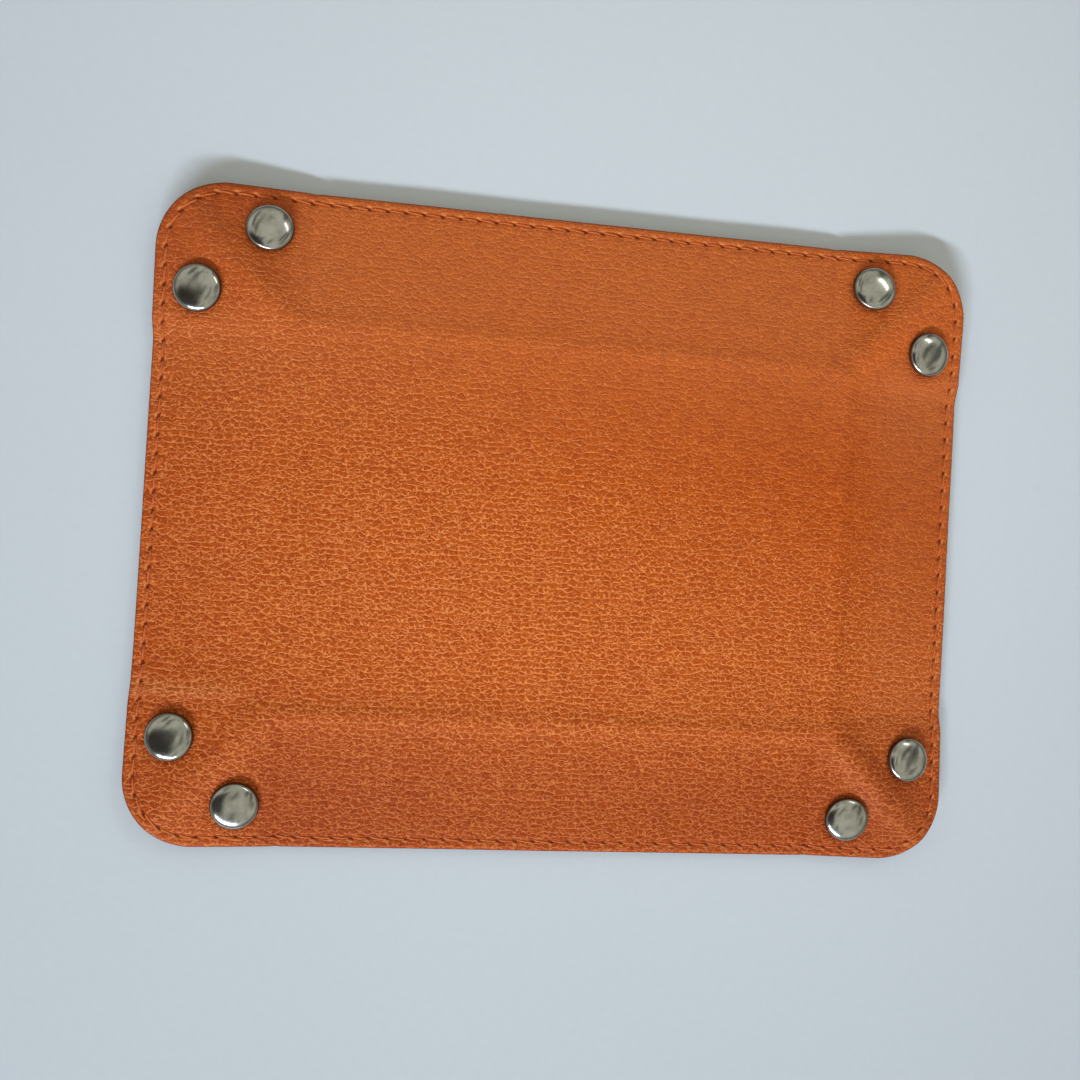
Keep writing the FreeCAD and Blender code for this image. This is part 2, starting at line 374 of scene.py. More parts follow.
def studPatch(coarse):
    bend, height = sheet["bend"], sheet["wallHeight"]
    edge = np.concatenate([[[-2 * bend, height]], turnPoints(0, splitAngle)])
    count = len(steps(0, grid["studRun"], grid["alongStep"] * coarse))
    left = np.stack([np.full(len(rise(coarse)), -2 * bend), bend + (height - bend) * rise(coarse)], -1)
    return coons(curved([left[0], splitFoot], count), curved(edge, count), left, splitLine(coarse))


def socketPatch(coarse):
    bend, height = sheet["bend"], sheet["wallHeight"]
    edge = np.concatenate([turnPoints(splitAngle, math.pi / 2), [[height, -bend]]])
    first = curved([splitFoot, [0, bend]], grid["socketColumns"][0] // coarse)
    second = curved([[0, bend], [0, -bend]], grid["socketColumns"][1] // coarse)
    inner = np.concatenate([first[:-1], second])
    last = np.stack([height * rise(coarse), np.full(len(rise(coarse)), -bend)], -1)
    return coons(inner, curved(edge, len(inner)), splitLine(coarse), last)


def longPatches(coarse):
    bend, height, reach = sheet["bend"], sheet["wallHeight"], sheet["creaseX"] - 2 * sheet["bend"]
    strip = steps(-bend, bend, grid["creaseStep"] * coarse)
    rows = np.concatenate([strip[:-1], bend + (height - bend) * rise(coarse)])
    columns = steps(-reach, reach, grid["alongStep"] * coarse)
    ends = steps(reach, sheet["creaseX"], grid["creaseStep"] * coarse)
    return [lattice(columns, rows), lattice(ends, strip), lattice(-ends, strip)]


def shortPatches(coarse):
    bend, reach = sheet["bend"], sheet["creaseY"] - sheet["bend"]
    strip = steps(-bend, 0, grid["creaseStep"] * coarse)
    columns = np.concatenate([strip[:-1], sheet["wallHeight"] * rise(coarse)])
    return [lattice(columns, steps(-reach, reach, grid["alongStep"] * coarse))]


def basePatches(coarse):
    x, y = sheet["creaseX"] - sheet["bend"], sheet["creaseY"] - sheet["bend"]
    return [lattice(steps(-x, x, grid["baseStep"] * coarse), steps(-y, y, grid["baseStep"] * coarse))]


def joined(patches):  # one set of points and faces, facing up
    points, faces, start = [], [], 0
    for patch in patches:
        rows, columns = patch.shape[:2]
        index = np.arange(rows * columns).reshape(rows, columns) + start
        quads = np.stack([index[:-1, :-1], index[:-1, 1:], index[1:, 1:], index[1:, :-1]], -1)
        quads = quads.reshape(-1, 4)
        right, ahead = patch[:-1, 1:] - patch[:-1, :-1], patch[1:, :-1] - patch[:-1, :-1]
        if np.sum(right[..., 0] * ahead[..., 1] - right[..., 1] * ahead[..., 0]) < 0:
            quads = quads[:, ::-1]
        points.append(patch.reshape(-1, 2))
        faces.append(quads)
        start += rows * columns
    points, faces = np.concatenate(points), np.concatenate(faces)
    keys = np.round(points / grid["merge"]).astype(np.int64)
    first, back = np.unique(keys, axis=0, return_index=True, return_inverse=True)[1:]
    return points[first], back.reshape(-1)[faces]


sharpFold = math.radians(42)  # a steeper edge stays sharp


def inScene(name, data):
    made = bpy.data.objects.new(name, data)
    bpy.context.scene.collection.objects.link(made)
    return made


def setVectors(mesh, key, values):
    attribute = mesh.attributes.new(key, "FLOAT_VECTOR", "POINT")
    attribute.data.foreach_set("vector", values.astype(np.float32).ravel())


def newPiece(name, points, faces, material, attributes=None):
    mesh = bpy.data.meshes.new(name)
    mesh.from_pydata(points.tolist(), [], [list(face) for face in faces])
    for key, values in (attributes or {}).items():
        setVectors(mesh, key, values)
    mesh.materials.append(material)
    mesh.shade_smooth()
    mesh.set_sharp_from_angle(angle=sharpFold)
    return inScene(name, mesh)


def layer(name, patches, top, bottom, material):  # a closed sheet between two heights over the flat plan
    plan, up = joined(patches)
    count = len(plan)
    flat = np.concatenate([np.c_[plan, top(plan)], np.c_[plan, bottom(plan)]])
    edges = np.concatenate([up[:, [i, (i + 1) % 4]] for i in range(4)])
    codes, backs = edges[:, 0] * count + edges[:, 1], edges[:, 1] * count + edges[:, 0]
    rim = edges[~np.isin(codes, backs)]
    sides = np.stack([rim[:, 0], rim[:, 0] + count, rim[:, 1] + count, rim[:, 1]], -1)
    run, depth = fromEdge(flat)
    # the seam's place, and the wear and painted sheen of the folds
    marks = {"flatPlace": flat, "seamPlace": np.c_[run, depth, wearAndSheenAt(flat)]}
    faces = np.concatenate([up, up[:, ::-1] + count, sides])
    return newPiece(name, laid(flat), faces, material, marks)


def across(name, node, reach):  # the ends of a soft fold, square to its axis, from parent to child
    place, axis = Vector(joints[name]["pos_m"]), Vector(joints[name]["axis"])
    side = axis.cross(Vector((0, 0, 1))).normalized() * reach
    low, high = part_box(node)
    if side.dot((low + high) / 2 - place) < 0:
        side.negate()
    return place - side, place + side


# Shader maths: a Wire is a socket that can be added, multiplied and passed on
class Wire:
    def __init__(self, tree, socket=None):
        self.tree, self.socket = tree, socket

    def add(self, kind, settings=None, sockets=None, out=0):
        node = self.tree.nodes.new(kind)
        for key, value in (settings or {}).items():
            setattr(node, key, value)
        for key, value in (sockets or {}).items():
            if isinstance(value, Wire):
                self.tree.links.new(value.socket, node.inputs[key])
            else:
                node.inputs[key].default_value = value
        return Wire(self.tree, node.outputs[out])

    def math(self, operation, *values):
        return self.add("ShaderNodeMath", {"operation": operation}, dict(enumerate(values)))

    def vector(self, operation, *values, out=0):
        return self.add("ShaderNodeVectorMath", {"operation": operation}, dict(enumerate(values)), out)

    def mix(self, factor, first, second, blend="MIX"):
        settings = {"data_type": "RGBA", "blend_type": blend}
        return self.add("ShaderNodeMix", settings, {0: factor, 6: first, 7: second}, 2)

    def step(self, low, high):
        limits = {"Value": self, "From Min": low, "From Max": high}
        return self.add("ShaderNodeMapRange", {"interpolation_type": "SMOOTHSTEP"}, limits)

    def noise(self, place, scale, detail=2.0, out="Fac"):
        return self.add("ShaderNodeTexNoise", {}, {"Vector": place, "Scale": scale, "Detail": detail}, out)

    def cells(self, place, feature, out="Distance"):
        settings = {"voronoi_dimensions": "2D", "feature": feature}
        given = {"Vector": place, "Scale": 1.0, "Randomness": 0.9}
        return self.add("ShaderNodeTexVoronoi", settings, given, out)

    def attribute(self, name):
        return self.add("ShaderNodeAttribute", {"attribute_name": name}, {}, "Vector")

    def parts(self):
        return [self.add("ShaderNodeSeparateXYZ", {}, {0: self}, axis) for axis in "XYZ"]

    def bump(self, strength, distance, height):
        sockets = {"Strength": strength, "Distance": distance, "Height": height}
        return self.add("ShaderNodeBump", {}, sockets)

    def __add__(self, other):
        return self.math("ADD", self, other)

    def __sub__(self, other):
        return self.math("SUBTRACT", self, other)

    def __rsub__(self, other):
        return self.math("SUBTRACT", other, self)

    def __mul__(self, other):
        return self.math("MULTIPLY", self, other)

    def __truediv__(self, other):
        return self.math("DIVIDE", self, other)

    def __abs__(self):
        return self.math("ABSOLUTE", self)

    __radd__, __rmul__ = __add__, __mul__


def newMaterial(name, **constants):  # a principled surface and its first wire
    material = bpy.data.materials.new(name)
    material.use_nodes = True
    shader = material.node_tree.nodes["Principled BSDF"]
    for key, value in constants.items():
        shader.inputs[key].default_value = value
    return material, shader, Wire(material.node_tree)


def plug(shader, **wires):
    for key, wire in wires.items():
        wire.tree.links.new(wire.socket, shader.inputs[key.replace("_", " ")])


coverFinish = {
    "cell": (2.0, 1.5),  # mm, longer along the tray
    "longCell": (3.0, 1.5),
    "wander": (1.6, 1.3, 0.0),  # mm that the grain lines stray
    "wiggle": (0.12, 0.42, 0.0),
    "plateau": (0.485, 0.062, 0.0025, 1),
    "plateauWarm": (0.665, 0.117, 0.005, 1),
    # tints for painted shade and painted sheen
    "handled": (0.56, 0.44, 0.4, 1),
    "faded": (0.72, 0.24, 0.09, 1),
    "line": (1.0, 0.305, 0.08, 1),
    # tint for worn grain on the folds and for painted sheen there
    "stretched": (1.0, 0.4, 0.12, 1),
    "lineWidth": (0.02, 0.2),
    "lineShare": 2.6,
    "grainHeight": 0.16 * mm,
    "rough": (0.52, 0.66),
}
liningFinish = {
    "cell": (1.3, 1.1),
    "longCell": (1.7, 1.2),
    "wander": (0.9, 0.9, 0.0),
    "wiggle": (0.2, 0.2, 0.0),
    "plateau": (0.42, 0.075, 0.01, 1),
    "plateauWarm": (0.48, 0.098, 0.014, 1),
    # tints for painted shade and painted sheen
    "handled": (0.8, 0.7, 0.65, 1),
    "faded": (0.5, 0.12, 0.03, 1),
    "line": (0.58, 0.14, 0.026, 1),
    # tint for worn grain on the folds and for painted sheen there
    "stretched": (0.6, 0.17, 0.04, 1),
    "lineWidth": (0.02, 0.2),
    "lineShare": 0.6,
    "grainHeight": 0.07 * mm,
    "rough": (0.5, 0.62),
}
edgeFinish = {
    "cut": (0.12, 0.026, 0.009, 1),
    "cutEdge": (0.08, 0.4),  # mm from the cut
    "cutShare": 0.8,
    "cutRough": 0.2,
    # painted shade in the needle holes
    "hole": (0.2, 0.025, 0.005, 1),
    "holeSize": (0.9, 0.42),  # mm along and across
    "holeSlant": math.radians(14),
    "holeEdge": (0.5, 1.15),  # of its size
    "holeSink": 0.9,  # of the grain's height
    # a painted highlight on the raised lip beside each hole
    "lip": (0.86, 0.27, 0.07, 1),
    "lipEdge": (0.4, 1.3),
    "lipShift": 1.7,
    "lipShare": 0.55,
    "lipRise": 0.5,
    # painted shade in the stitch groove
    "groove": (0.38, 0.054, 0.006, 1),
    "grooveEdge": (0.2, 0.75),  # mm from the seam
    "grooveShare": 0.4,
    "grooveSink": 0.4,
}
grainNoise = {  # waves a mm, and detail
    "wander": (0.5, 3.0),
    "wiggle": (2.4, 1.0),
    "broken": (0.8, 2.0),
    "wrinkle": (0.9, 2.0),
    "vivid": (1.7, 1.0),
    "fine": (2.6, 4.0),
    "pores": (6.0, 2.0),
    "patchy": (0.035, 3.0),
}
paintedLightPlaces = {  # painted shade and sheen on the leather, and random patches of tone; places are mm from the middle of the tray
    "crisp": (0.94, 0.24),  # painted light: how far the grain lines stand out at the front left, towards the lamp, and at the back right
    "crispSpan": (-30.0, 55.0),
    "crispLean": 0.35,
    "corner": (-6.0, 10.0),  # past both creases
    "ends": 0.28,  # painted shade 100 mm out along the length
    "endsLean": 0.0008,  # a mm, more on the left
    # painted shade on the front wall, and on all but the back wall
    "front": (30.0, 76.0),
    "frontShare": 0.62,
    "back": (30.0, 62.0),
    "backShare": 0.2,
    "patchShare": 0.05,
    "leftCorners": (0.0055, 0.02),  # painted shade a mm towards the back, less what the middle gets
    # painted sheen on the back wall and the right end
    "fadedBack": (8.0, 72.0),
    "fadedBackShare": 0.24,
    "fadedRight": (80.0, 94.0),
    "fadedRightShare": 0.09,
    "cornerSpared": 0.6,
}


def inMillimetres(wire, place):
    return wire.add("ShaderNodeVectorMath", {"operation": "SCALE"}, {0: place, "Scale": 1 / mm})


def grain(wire, place, cell, lineWidth):  # how far inside a cell, the pale grain line with a painted highlight on its front, the side towards the lamp, and its tone
    scaled = wire.vector("MULTIPLY", place, (1 / cell[0], 1 / cell[1], 1.0))
    side, level = wire.vector("SUBTRACT", scaled, wire.cells(scaled, "F1", "Position")).parts()[:2]
    slant = level / (abs(side) + abs(level) + 0.001)
    inside = wire.cells(scaled, "DISTANCE_TO_EDGE").step(*lineWidth)
    # painted highlight: the line is brightest on the cell's front, which faces the key lamp, and fades on
    # its back
    litLine = (1 - inside) * (1 - 0.85 * slant.step(-0.65, 0.1))
    return inside, litLine, wire.cells(scaled, "F1", "Color").parts()[0]


def leatherGrain(wire, place, worn, finish):  # pale grain lines with painted highlights, tone, height and roughness
    strayed = place
    for key in ("wander", "wiggle"):
        stray = wire.vector("SUBTRACT", wire.noise(place, *grainNoise[key], "Color"), (0.5, 0.5, 0.5))
        strayed = wire.vector("MULTIPLY_ADD", stray, finish[key], strayed)
    pillow, litLine, tone = grain(wire, strayed, finish["cell"], finish["lineWidth"])
    longPillow, longLitLine = grain(wire, strayed, finish["longCell"], finish["lineWidth"])[:2]
    broken = wire.noise(place, *grainNoise["broken"])  # each network of lines shows where the other fades
    longLitLine = longLitLine * (1 - broken.step(0.46, 0.58))
    litLine = wire.math("MAXIMUM", litLine * broken.step(0.4, 0.52), longLitLine)
    pillow = pillow * 0.55 + longPillow * 0.45
    fine, pores = wire.noise(place, *grainNoise["fine"]), wire.noise(place, *grainNoise["pores"])
    wrinkle = 1 - abs(wire.noise(strayed, *grainNoise["wrinkle"]) - 0.5).step(0.0, 0.05)
    x, y = place.parts()[:2]
    # painted light: the grain lines are painted stronger towards the front left, where the lamp grazes them
    most, least = paintedLightPlaces["crisp"]
    crisp = most - (x * paintedLightPlaces["crispLean"] + y).step(*paintedLightPlaces["crispSpan"]) * (most - least)
    vivid = wire.noise(place, *grainNoise["vivid"]).step(0.2, 0.7)
    vivid = finish["lineShare"] * crisp * vivid + worn * 0.6
    lines = wire.math("MINIMUM", (litLine + wrinkle * 0.25) * vivid, 1.0)
    shade = (tone * 0.15 + fine * 0.4 + pores * 0.45).step(0.33, 0.67)
    height = pillow * 0.75 + fine * 0.4 + pores * 0.12 - wrinkle * 0.15
    smooth, rough = finish["rough"]
    return lines, shade, height, rough + (smooth - rough) * pillow + (fine - 0.5) * 0.14


def paintedShadeAndSheen(wire, place, colour, finish):  # painted shade in front and at the ends, painted sheen behind, with random patches of tone
    x, y = place.parts()[:2]
    pastX, pastY = abs(x) - sheet["creaseX"] / mm, abs(y) - sheet["creaseY"] / mm
    onCorner = wire.math("MINIMUM", pastX, pastY).step(*paintedLightPlaces["corner"])
    outwards = abs(x) * 0.01
    # painted shade towards the ends, on the front wall, on all but the back wall and on the left corners,
    # with random patches of tone
    shadeAndPatches = outwards * outwards * (paintedLightPlaces["ends"] - x * paintedLightPlaces["endsLean"])
    shadeAndPatches = shadeAndPatches + (0 - y).step(*paintedLightPlaces["front"]) * paintedLightPlaces["frontShare"]
    shadeAndPatches = shadeAndPatches + paintedLightPlaces["backShare"] * (1 - y.step(*paintedLightPlaces["back"]))
    shadeAndPatches = shadeAndPatches + wire.noise(place, *grainNoise["patchy"]).step(0.3, 0.7) * paintedLightPlaces["patchShare"]
    rise, less = paintedLightPlaces["leftCorners"]
    shadeAndPatches = shadeAndPatches + onCorner * wire.math("MAXIMUM", x * -0.01, 0.0) * (y * rise - less)
    colour = wire.mix(shadeAndPatches, colour, finish["handled"], "MULTIPLY")
    # painted sheen: the back wall and the right end are painted paler, less so on the corners
    paintedSheen = y.step(*paintedLightPlaces["fadedBack"]) * paintedLightPlaces["fadedBackShare"]
    paintedSheen = paintedSheen + x.step(*paintedLightPlaces["fadedRight"]) * paintedLightPlaces["fadedRightShare"]
    return wire.mix(paintedSheen * (1 - onCorner * paintedLightPlaces["cornerSpared"]), colour, finish["faded"])


def seamMarks(wire, run, depth):  # needle holes, their raised lips, the groove and the cut edge
    along = (wire.math("FRACT", run + 0.5) - 0.5) * (seam["pitch"] / mm)
    inwards = (depth - seam["inset"]) / mm
    turnCos, turnSin = math.cos(edgeFinish["holeSlant"]), math.sin(edgeFinish["holeSlant"])
    holeAlong = (along * turnCos + inwards * turnSin) / edgeFinish["holeSize"][0]
    holeAcross = (inwards * turnCos - along * turnSin) / edgeFinish["holeSize"][1]
    lipAcross = holeAcross + edgeFinish["lipShift"]
    fromHole = wire.math("SQRT", holeAlong * holeAlong + holeAcross * holeAcross)
    fromLip = wire.math("SQRT", holeAlong * holeAlong + lipAcross * lipAcross)
    hole, lip = 1 - fromHole.step(*edgeFinish["holeEdge"]), 1 - fromLip.step(*edgeFinish["lipEdge"])
    groove = 1 - abs(inwards).step(*edgeFinish["grooveEdge"])
    return hole, lip, groove, 1 - (depth / mm).step(*edgeFinish["cutEdge"])


def leather(name, finish):
    material, shader, wire = newMaterial(name, **{"Specular IOR Level": 0.125})
    place = inMillimetres(wire, wire.attribute("flatPlace"))
    run, depth, worn = wire.attribute("seamPlace").parts()
    lines, shade, height, rough = leatherGrain(wire, place, worn, finish)
    colour = wire.mix(shade, finish["plateau"], finish["plateauWarm"])
    colour = wire.mix(lines, colour, finish["line"])
    # a paler tint for worn grain and for painted sheen on the folds
    colour = wire.mix(worn * (0.08 + lines * 0.42), colour, finish["stretched"])
    colour = paintedShadeAndSheen(wire, place, colour, finish)
    hole, lip, groove, cut = seamMarks(wire, run, depth)
    # painted shade in the groove and the holes, a painted highlight on the lips, and the dark cut edge
    colour = wire.mix(groove * edgeFinish["grooveShare"], colour, edgeFinish["groove"])
    colour = wire.mix(lip * edgeFinish["lipShare"], colour, edgeFinish["lip"])
    colour = wire.mix(hole, colour, edgeFinish["hole"])
    colour = wire.mix(cut * edgeFinish["cutShare"], colour, edgeFinish["cut"])
    height = height + lip * edgeFinish["lipRise"] - groove * edgeFinish["grooveSink"]
    height = height - hole * edgeFinish["holeSink"]
    rough = rough + cut * edgeFinish["cutRough"] - worn * 0.12
    plug(shader, Base_Color=colour, Roughness=rough, Normal=wire.bump(1.0, finish["grainHeight"], height))
    return material


plating = {
    "streakStretch": (0.5, 5.0, 5.0),
    "streaks": (1.4, 3.0),  # waves a mm, and detail
    "streakEdge": (0.56, 0.74),
    "smudges": (0.3, 4.0),
    "smudgeEdge": (0.3, 0.75),
    "spots": (1.3, 1.0),
    "spotEdge": (0.2, 0.27),
    "spotShare": 0.7,
    "spotRough": 0.25,
    "rimRough": 0.3,
    "dents": (0.9, 2.0),
}


def metal(name, finish):
    material, shader, wire = newMaterial(name, **{"Metallic": 1.0, "Specular IOR Level": 0.0})
    place = inMillimetres(wire, wire.add("ShaderNodeTexCoord", {}, {}, "Object"))
    streaks = wire.noise(wire.vector("MULTIPLY", place, plating["streakStretch"]), *plating["streaks"])
    streaks = streaks.step(*plating["streakEdge"])
    smudge = wire.noise(place, *plating["smudges"])
    spots = 1 - wire.noise(place, *plating["spots"]).step(*plating["spotEdge"])
    tone = wire.mix(smudge.step(*plating["smudgeEdge"]), finish["clean"], finish["dull"])
    tone = wire.mix(spots * plating["spotShare"], tone, finish["spot"])
    rough = finish["rough"] + smudge * finish["roughSpread"]
    rough = rough + streaks * finish["scratch"] + spots * plating["spotRough"]
    if "rim" in finish:
        up = wire.attribute("capPlace").parts()[2] / mm
        # painted shade: the cap's lowest band is painted dark and dull where it meets the leather
        rimShade = 1 - up.step(*finish["rimReach"])
        tone = wire.mix(rimShade, tone, finish["rim"])
        rough = rough + rimShade * plating["rimRough"]
        plug(shader, Metallic=1 - rimShade)
    height = wire.noise(place, *plating["dents"]) * 0.6 - streaks * 0.1 - spots * 0.5
    plug(shader, Base_Color=tone, Roughness=rough, Normal=wire.bump(0.5, finish["dent"], height))
    return material


def fibre(name, finish):
    material, shader, wire = newMaterial(name, **{"Specular IOR Level": 0.3, "Sheen Weight": 0.2})
    place = inMillimetres(wire, wire.add("ShaderNodeTexCoord", {}, {}, "Object"))
    strands = wire.noise(place, finish["scale"], 3.0)
    patches = wire.noise(place, finish["scale"] * 0.12, 2.0)
    colour = wire.mix((strands * 0.7 + patches * 0.5).step(0.3, 0.85), finish["dark"], finish["light"])
    rough, bump = 0.62 + strands * 0.25, wire.bump(0.8, finish["depth"], strands)
    plug(shader, Base_Color=colour, Roughness=rough, Normal=bump)
    return material


capFinish = {
    "clean": (0.48, 0.467, 0.42, 1),
    "dull": (0.32, 0.307, 0.268, 1),
    "spot": (0.2, 0.18, 0.15, 1),
    "rim": (0.09, 0.03, 0.012, 1),  # painted shade where the cap meets the leather
    "rimReach": (1.15, 1.6),  # mm above the leather
    "rough": 0.12,
    "roughSpread": 0.07,
    "scratch": 0.1,
    "dent": 0.009 * mm,
}
snapFinish = {
    "clean": (0.62, 0.6, 0.55, 1),
    "dull": (0.5, 0.47, 0.41, 1),
    "spot": (0.25, 0.2, 0.14, 1),
    "rough": 0.2,
    "roughSpread": 0.12,
    "scratch": 0.12,
    "dent": 0.03 * mm,
}
wireFinish = {
    "clean": (0.58, 0.57, 0.55, 1),
    "dull": (0.42, 0.41, 0.39, 1),
    "spot": (0.16, 0.14, 0.12, 1),
    "rough": 0.28,
    "roughSpread": 0.12,
    "scratch": 0.1,
    "dent": 0.02 * mm,
}
threadFinish = {
    "dark": (0.46, 0.07, 0.007, 1),
    "light": (0.72, 0.175, 0.028, 1),
    "scale": 5.0,  # strands a mm
    "depth": 0.05 * mm,
}
boardFinish = {
    "dark": (0.3, 0.235, 0.16, 1),
    "light": (0.46, 0.37, 0.26, 1),
    "scale": 1.6,
    "depth": 0.06 * mm,
}
coverLeather = leather("grained cover leather", coverFinish)
liningLeather = leather("lining leather", liningFinish)
capNickel = metal("polished nickel", capFinish)
snapNickel = metal("plated brass", snapFinish)
springSteel = metal("spring wire", wireFinish)
sewingThread = fibre("sewing thread", threadFinish)
greyBoard = fibre("grey board", boardFinish)
print("finishes:", len(bpy.data.materials), "materials")


# Cover and lining, each split where a piece can bend across only one fold
def outerTop(plan):
    return lifted(plan) + pressed(plan)


def coverUnder(plan):
    return lifted(plan) - sheet["coverThickness"]


def liningOver(plan):
    return lifted(plan) - sheet["coverThickness"] - pocketed(plan)


def liningUnder(plan):
    return liningOver(plan) - sheet["liningThickness"]


layers = {
    "cover": {"top": outerTop, "bottom": coverUnder, "material": coverLeather, "coarse": 1},
    "lining": {"top": liningOver, "bottom": liningUnder, "material": liningLeather, "coarse": 2},
}


def mirrored(patches, sideX, sideY, shiftX=0.0, shiftY=0.0):
    return [(patch + (shiftX, shiftY)) * (sideX, sideY) for patch in patches]


def sheetPiece(kind, region, patches):
    made = layers[kind]
    piece = layer(kind + "_leather_" + region, patches, made["top"], made["bottom"], made["material"])
    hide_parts(kind + "_" + region)
    kind + "_leather"
    return piece


def bendWall(piece, wall):
    start, end = across(wall + "_wall_fold", "cover_" + wall, sheet["bend"])
    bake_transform(piece)


def bendStudHalf(piece, corner):
    start, end = across("stud_half_fold_" + corner, "cover_stud_half_" + corner, sheet["bend"])
    corner.split("_")[0] + "_wall"
    "stud_half_" + corner
    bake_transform(piece)


def bendSocketHalf(piece, corner):
    start, end = across("diagonal_fold_" + corner, "cover_socket_half_" + corner, sheet["diagonalBend"])
    "stud_half_" + corner
    "socket_half_" + corner
    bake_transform(piece)


for kind, made in layers.items():
    coarse = made["coarse"]
    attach(sheetPiece(kind, "base", basePatches(coarse)), "base")
    for wall, side in longWalls.items():
        bendWall(sheetPiece(kind, wall, mirrored(longPatches(coarse), 1, side, 0, sheet["creaseY"])), wall)
    for wall, side in shortWalls.items():
        bendWall(sheetPiece(kind, wall, mirrored(shortPatches(coarse), side, 1, sheet["creaseX"], 0)), wall)
    for corner, (sideX, sideY) in corners.items():
        place = (sideX, sideY, sheet["creaseX"], sheet["creaseY"])
        bendStudHalf(sheetPiece(kind, "stud_half_" + corner, mirrored([studPatch(coarse)], *place)), corner)
        patches = mirrored([socketPatch(coarse)], *place)
        bendSocketHalf(sheetPiece(kind, "socket_half_" + corner, patches), corner)
    print("leather:", kind, "laid in 13 pieces")

# Tongues hidden in the sheet, which close the base's corners and the open folds as the tray moves
tongue = {
    "reach": 4.0 * mm,
    "root": 1.2 * mm,
    "side": 1.6 * mm,
    "edge": 0.6 * mm,
    "top": 0.3 * mm,
    "bottom": 1.45 * mm,
    "step": 0.5 * mm,
}


def tongueTop(plan):
    return outerTop(plan) - tongue["top"]


def tongueUnder(plan):
    return lifted(plan) - tongue["bottom"]


def tonguePiece(name, patch, corner):
    patches = mirrored([patch], *corners[corner], sheet["creaseX"], sheet["creaseY"])
    piece = layer(name + corner, patches, tongueTop, tongueUnder, coverLeather)
    return piece


for corner in corners:
    reach = steps(-tongue["root"], tongue["reach"], tongue["step"])
    bent = steps(-sheet["bend"], sheet["bend"], tongue["step"])
    longWall, shortWall = corner.split("_")
    bendWall(tonguePiece("long_tongue_", lattice(reach, bent), corner), longWall)
    bendWall(tonguePiece("short_tongue_", lattice(bent, reach - sheet["bend"]), corner), shortWall)
    outwards = steps(sheet["bend"], sheet["wallHeight"] - tongue["edge"], tongue["step"])
    sides = steps(-tongue["side"], tongue["side"], tongue["step"]) - sheet["bend"]
    bendSocketHalf(tonguePiece("open_tongue_", lattice(outwards, sides), corner), corner)
print("tongues:", 3 * len(corners))


# Domed caps, turned about their own axis and then swung with their corner half
def capProfile():
    radius, rim, (skirtInset, skirtHeight) = caps["radius"], caps["rimHeight"], caps["skirt"]
    angles = np.linspace(0.0, math.pi / 2, caps["rings"])
    reach, height = np.sin(angles) ** (2 / caps["dome"]), np.cos(angles) ** (2 / caps["dome"])
    dome = np.stack([radius * reach, rim + (caps["height"] - rim) * height], -1)
    rolled = [(radius - inset, level) for inset, level in caps["rolled"]]
    return [*dome.tolist(), *rolled, (radius - skirtInset, skirtHeight), (0.0, skirtHeight)]


def lathed(profile, segments):
    angle = np.linspace(0, 2 * math.pi, segments, endpoint=False)
    circle = np.stack([np.cos(angle), np.sin(angle), np.zeros(segments)], -1)
    rings = [reach * circle + (0, 0, level) for reach, level in profile[1:-1]]
    points = np.concatenate([[[0, 0, profile[0][1]]], *rings, [[0, 0, profile[-1][1]]]])
    pairs = [(here, (here + 1) % segments) for here in range(segments)]
    faces = [[0, 1 + here, 1 + onward] for here, onward in pairs]
    for ring in range(len(rings) - 1):
        near, far = 1 + ring * segments, 1 + (ring + 1) * segments
        faces += [[near + here, far + here, far + onward, near + onward] for here, onward in pairs]
    last = 1 + (len(rings) - 1) * segments
    return points, faces + [[last + onward, last + here, len(points) - 1] for here, onward in pairs]


capPoints, capFaces = lathed(capProfile(), caps["segments"])
for corner, (sideX, sideY) in corners.items():
    for kind in ("stud", "socket"):
        half = kind + "_half_" + corner
        points = capPoints + (*capCentre(kind, sideX, sideY), sheet["face"])
        whole = np.ones(len(points))
        points = turned(points, corner.split("_")[0] + "_wall_fold", whole)
        points = turned(points, "stud_half_fold_" + corner, whole)
        if kind == "socket":
            points = turned(points, "diagonal_fold_" + corner, whole)
        cap = newPiece("domed_cap_" + half, points, capFaces, capNickel, {"capPlace": capPoints})
        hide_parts("cap_" + half)
        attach(cap, half)
print("caps:", 2 * len(corners))


